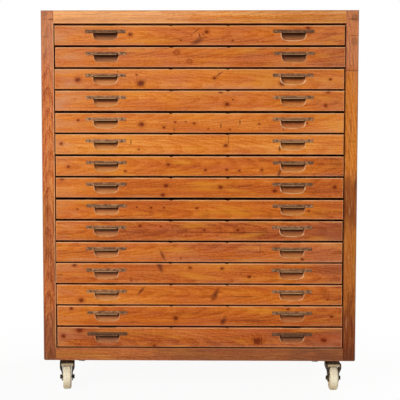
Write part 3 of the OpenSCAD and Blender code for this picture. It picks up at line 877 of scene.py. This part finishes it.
def finish_drawers():
    """The drawers, each in its own wood, and their pulls."""
    for number, drawer in enumerate(DRAWERS, start=1):
        give_finish(drawer, drawer_pine(number))
        give_finish(f"pulls_{number:02d}", pull_iron(number))


def finish_posts():
    """The front posts, each with its own cracks, patches and dirt, and the rear posts.

    Marks are given as for the drawer fronts, but up the post and then across it.
    """
    left_marks = ((1187, -468, 2.6, 9, 0.0), (1188, -487, 1.3, 7, 0.0), (1133, -484, 1.1, 13, 0.0))
    left_patches = (
        post_band(WORN_HAZE, 0.45, -POST_X, TOP_Z, 260),
        post_band(AGED_BROWN, 0.2, -POST_X, 500, 190),
        post_band(AGED_BROWN, 0.6, -POST_X, 140, 170),
        Patch(GRIME, 0.3, -488, 1205, 14, 14),
    )
    # The left post's edge along the opening painted pale: wear and a painted highlight
    give_finish("front_left_post", case_pine(
        "left_post_pine", "Z", stain=0.62, seed=21, heart=(-478, 26), marks=left_marks,
        patches=left_patches, bare=0.6, lively=2.0, dust=0.15, soiled=0.25, scores=0.5))
    right_marks = ((1187, 480, 2.2, 15, 0.0), (1136, 482, 1.2, 14, 0.0), (806, 482, 1.0, 14, 0.0))
    right_patches = (
        post_band(WORN_HAZE, 0.45, POST_X, TOP_Z, 260),
        post_band(BRANCH, 0.65, POST_X, 620, 110),
        post_band(BRANCH, 0.38, POST_X, 480, 240),
        post_band(BRANCH, 1.0, POST_X, 130, 230),
        Patch(GRIME, 0.45, 488, 1192, 17, 14),
        Patch(GRIME, 0.4, 486, 1118, 16, 18),
        Patch(GRIME, 0.5, 497, 668, 8, 16),
    )
    # The right post's edge along the opening painted dark in the branch colour as painted shade
    give_finish("front_right_post", case_pine(
        "right_post_pine", "Z", stain=0.52, seed=22, heart=(450, 60), marks=right_marks, splice_z=1027,
        patches=right_patches, bare=0.6, rim=BRANCH, lively=2.0, dust=0.1, soiled=0.45, scores=0.5))
    give_finish("rear_posts", case_pine("rear_post_pine", "Z", stain=0.45, seed=23, heart=(0, -600)))


def finish_rails():
    """The front rails, rubbed pale or aged along their length, and the rear rails."""
    top_z = (OPENING_TOP + TOP_Z) / 2
    top_patches = (
        Patch(RUBBED_PALE, 0.37, -330, top_z, 420, 300),
        Patch(AGED_BROWN, 0.21, 430, top_z, 380, 300),
        Patch(AGED_BROWN, 0.15, 0, top_z - 9, 3000, 9),
        Patch(RUBBED_PALE, 0.2, 0, top_z + 11, 3000, 6),
    )
    give_finish("front_top_rail", case_pine(
        "top_rail_pine", "X", stain=0.06, seed=24, heart=(1220, 50), patches=top_patches, lively=1.5,
        scores=0.4))
    bottom_z = (CASE_Z + OPENING_Z) / 2
    bottom_patches = (
        Patch(AGED_BROWN, 0.55, 140, bottom_z, 420, 400),
        Patch(AGED_BROWN, 0.7, 470, bottom_z, 260, 400),
        Patch(AGED_BROWN, 0.2, -450, bottom_z, 160, 400),
    )
    give_finish("front_bottom_rail", case_pine(
        "bottom_rail_pine", "X", stain=0.25, seed=25, heart=(90, 60), patches=bottom_patches, bare=0.2,
        lively=1.5, dust=0.2, soiled=0.15, scores=0.35))
    give_finish("rear_rails", case_pine("rear_rail_pine", "X", stain=0.5, seed=26))


def finish_panels():
    """The sides, the top and the back of the case, and the bare wood inside and under it."""
    for side, seed in (("left", 27), ("right", 29)):
        give_finish(f"{side}_side_rails", case_pine(f"{side}_rail_pine", "Y", stain=0.42, seed=seed))
        give_finish(f"{side}_side_panels", case_pine(f"{side}_panel_pine", "Z", stain=0.38, seed=seed + 1))
        give_finish(f"{side}_runners", bare_pine(f"{side}_runner_pine", "Y", seed=seed + 4))
    give_finish("top_panel", case_pine("top_panel_pine", "X", stain=0.32, seed=35))
    low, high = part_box("back_boards")
    edge = low.x / MM
    width = (high.x - low.x) / MM / BACK_BOARDS
    heart = (edge + 0.4 * width, FRONT_Y - BACK_Y + 45)
    give_finish("back_boards", case_pine(
        "back_board_pine", "Z", stain=0.55, seed=36, heart=heart, boards=(edge, width)))
    give_finish("bottom_panel", bare_pine("bottom_panel_pine", "X", seed=37))
    give_finish("drawer_stops", bare_pine("drawer_stop_pine", "Y", seed=38))
    give_finish("caster_bearers", bare_pine("caster_bearer_pine", "Y", seed=39))


def finish_casters():
    """The casters' plates, forks, axles and wheels."""
    give_finish("caster_plates", caster_zinc("caster_plate_zinc", seed=3.0))
    for seed, swivel in enumerate(SWIVELS):
        corner = swivel["name"].removesuffix("_swivel")
        give_finish(f"{corner}_fork", caster_zinc(f"{corner}_fork_zinc", 10.0 + seed, corner))
        give_finish(f"{corner}_axle", caster_zinc(f"{corner}_axle_zinc", 20.0 + seed))
        give_finish(f"{corner}_wheel", wheel_nylon(f"{corner}_wheel_nylon", 30.0 + seed, corner))


def add_piece(name, body, material, build):
    """Adds a piece whose mesh build() makes in place, riding on a body of the frame."""
    shape = bmesh.new()
    build(shape)
    bmesh.ops.recalc_face_normals(shape, faces=shape.faces)
    mesh = bpy.data.meshes.new(name)
    shape.to_mesh(mesh)
    shape.free()
    mesh.materials.append(material)
    piece = bpy.data.objects.new(name, mesh)
    bpy.context.scene.collection.objects.link(piece)
    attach(piece, body)


def add_rings(shape, seat, side, up, rings):
    """A closed shape through rings of points, each given to the right, up and out of its seat."""
    out = side.cross(up)
    loops = []
    for ring in rings:
        loops.append([shape.verts.new(seat + x * side + y * up + z * out) for x, y, z in ring])
    for low, high in zip(loops, loops[1:]):
        for k in range(len(low)):
            after = (k + 1) % len(low)
            shape.faces.new((low[k], low[after], high[after], high[k]))
    shape.faces.new(loops[0][::-1])
    shape.faces.new(loops[-1])


def round_ring(radius, height, count=16):
    turns = [2 * math.pi * k / count for k in range(count)]
    return [(radius * math.cos(turn), radius * math.sin(turn), height) for turn in turns]


def half_ring(radius, height, slot, flip, count=11):
    """Half of a round ring, on one side of a screw's slot."""
    start = math.asin(slot / radius)
    turns = [start + (math.pi - 2 * start) * k / (count - 1) for k in range(count)]
    return [(radius * math.cos(turn), flip * radius * math.sin(turn), height) for turn in turns]


def add_screw_head(shape, seat, side, up, radius, rise, turn):
    """A round slotted screw head on its seat, its slot turned by that angle."""
    spin = Quaternion(side.cross(up), turn)
    side = spin @ side
    up = spin @ up
    sunk = -0.3 * radius
    add_rings(shape, seat, side, up, [round_ring(0.6 * radius, sunk), round_ring(radius, 0.15 * rise)])
    slot = 0.16 * radius
    steps = ((0.98, 0.1), (0.95, 0.5), (0.72, 0.85), (0.4, 1.0))
    for flip in (1, -1):
        halves = [half_ring(radius * reach, rise * height, slot, flip) for reach, height in steps]
        add_rings(shape, seat, side, up, halves)


def add_nail_head(shape, seat, side, up, radius, rise):
    """A flat round nail head with a hammered, eased rim."""
    steps = ((0.7, -0.5), (1.0, 0.2), (0.94, 0.75), (0.6, 1.0))
    rings = [round_ring(radius * reach, rise * height, 12) for reach, height in steps]
    add_rings(shape, seat, side, up, rings)


def add_pull_screws(number, drawer, steel):
    """A screw in each tab of a drawer's two pulls, its slot left at any angle."""
    tab_inset = 13 * MM
    tab_pitch = 102 * MM
    tab_drop = 5.25 * MM
    sheet = 2 * MM
    head_radius = 3.4 * MM
    head_rise = 0.9 * MM
    _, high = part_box(f"pulls_{number:02d}")
    outer = high.x - tab_inset
    places = (-outer, tab_pitch - outer, outer - tab_pitch, outer)

    def build(shape):
        for k, x in enumerate(places):
            seat = Vector((x, FRONT_Y * MM - sheet, high.z - tab_drop))
            turn = 0.5 + 2.3 * k + 1.7 * number
            add_screw_head(shape, seat, RIGHT, UP, head_radius, head_rise, turn)

    add_piece(f"pull_screws_{number:02d}", drawer, steel, build)


def add_caster_screws(steel):
    """Four round-headed screws up through each caster plate."""
    reach_x = 22 * MM
    reach_y = 25 * MM
    plate_t = 3 * MM
    head_radius = 5 * MM
    head_rise = 2.6 * MM
    plate_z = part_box("caster_plates")[1].z - plate_t

    def build(shape):
        for corner, swivel in enumerate(SWIVELS):
            x, y, _ = swivel["pos_m"]
            for k, (across, back) in enumerate(((-1, -1), (1, -1), (-1, 1), (1, 1))):
                seat = Vector((x + across * reach_x, y + back * reach_y, plate_z))
                turn = 0.9 * k + 1.3 * corner
                add_screw_head(shape, seat, BACK, RIGHT, head_radius, head_rise, turn)

    add_piece("caster_screws", "case", steel, build)


def add_back_nails(steel):
    """Two nails through each back board into each rear rail."""
    low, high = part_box("back_boards")
    board_w = (high.x - low.x) / BACK_BOARDS
    nail_inset = 24 * MM
    rail_inset = 20 * MM
    head_radius = 2.6 * MM
    head_rise = 0.6 * MM

    def build(shape):
        for board in range(BACK_BOARDS):
            for inset in (nail_inset, board_w - nail_inset):
                for z in (low.z + rail_inset, high.z - rail_inset):
                    seat = Vector((low.x + board * board_w + inset, high.y, z))
                    add_nail_head(shape, seat, UP, RIGHT, head_radius, head_rise)

    add_piece("back_nails", "case", steel, build)


def add_fasteners():
    """All the screws and nails, in one steel."""
    steel = screw_steel()
    for number, drawer in enumerate(DRAWERS, start=1):
        add_pull_screws(number, drawer, steel)
    add_caster_screws(steel)
    add_back_nails(steel)


def add_camera():
    """A camera in front of the cabinet, a little above its middle, tipped slightly down."""
    distance = 3.08
    to_right = 0.0436
    height = 0.7117
    yaw, tilt, roll = 0.0134, 0.0669, 0.0012
    spot = Vector((to_right, FRONT_Y * MM - distance, height))
    turn = Quaternion(UP, yaw) @ Quaternion(RIGHT, math.pi / 2 - tilt) @ Quaternion(UP, roll)
    lens = bpy.data.cameras.new("camera")
    lens.sensor_width = 36
    lens.lens = 87.23
    lens.shift_y = 0.09
    camera = bpy.data.objects.new("camera", lens)
    camera.matrix_world = Matrix.LocRotScale(spot, turn, None)
    bpy.context.scene.collection.objects.link(camera)
    bpy.context.scene.camera = camera


def add_lamp(name, spot, size, power):
    """A square soft box at a spot, turned to the middle of the cabinet."""
    middle = Vector((0, 0, 0.6))
    light = bpy.data.lights.new(name, "AREA")
    light.shape = "SQUARE"
    light.size = size
    light.energy = power
    lamp = bpy.data.objects.new(name, light)
    lamp.location = spot
    lamp.rotation_euler = (middle - Vector(spot)).to_track_quat("-Z", "Y").to_euler()
    bpy.context.scene.collection.objects.link(lamp)


def add_lights():
    """A key light high on the left in front, a weak fill, and one light for the back and the right side."""
    add_lamp("key_light", (-2.6, -5.2, 2.3), size=1.8, power=233)
    add_lamp("fill_light", (1.2, -3.4, 1.0), size=2.4, power=8)
    add_lamp("back_light", (2.2, 2.4, 2.6), size=2.0, power=120)


def add_world():
    """Weak even light all round, seen as white by the camera and in reflections."""
    world = bpy.data.worlds.new("studio")
    world.use_nodes = True
    bpy.context.scene.world = world
    room = Nodes(world.node_tree)
    glow = room.node("Background", {}, {"Color": WHITE, "Strength": 0.14})
    white = room.node("Background", {}, {"Color": WHITE, "Strength": 1.0})
    chosen = room.show_white(glow, white)
    room.plug(room.tree.nodes["World Output"], {"Surface": chosen})


def floor_white():
    """A pale floor finish that takes the cabinet's shadow and fades to white away from it."""
    finish = Finish("studio_floor")
    reach = (finish.x ** 2.0 + finish.y ** 2.0) ** 0.5
    away = finish.smooth(reach, 500.0, 1500.0)
    fleck = finish.noise(finish.place, 2.0)
    finish.dress({"Base Color": finish.ramp(fleck, FLOOR_TONES), "Roughness": 0.9})
    white = finish.node("Emission", {}, {"Color": WHITE, "Strength": 1.0})
    lit = Value(finish, finish.shader.outputs[0])
    shown = finish.show_white(lit, white, 0.94 + 0.06 * away)
    finish.plug(finish.tree.nodes["Material Output"], {"Surface": shown})
    return finish.material


def add_floor():
    half = 8.0
    mesh = bpy.data.meshes.new("studio_floor")
    corners = [(-half, -half, 0), (half, -half, 0), (half, half, 0), (-half, half, 0)]
    mesh.from_pydata(corners, [], [(0, 1, 2, 3)])
    mesh.materials.append(floor_white())
    floor = bpy.data.objects.new("studio_floor", mesh)
    bpy.context.scene.collection.objects.link(floor)


bpy.context.scene.view_settings.view_transform = "Standard"
add_camera()
add_lights()
add_world()
add_floor()
finish_drawers()
finish_posts()
finish_rails()
finish_panels()
finish_casters()
add_fasteners()
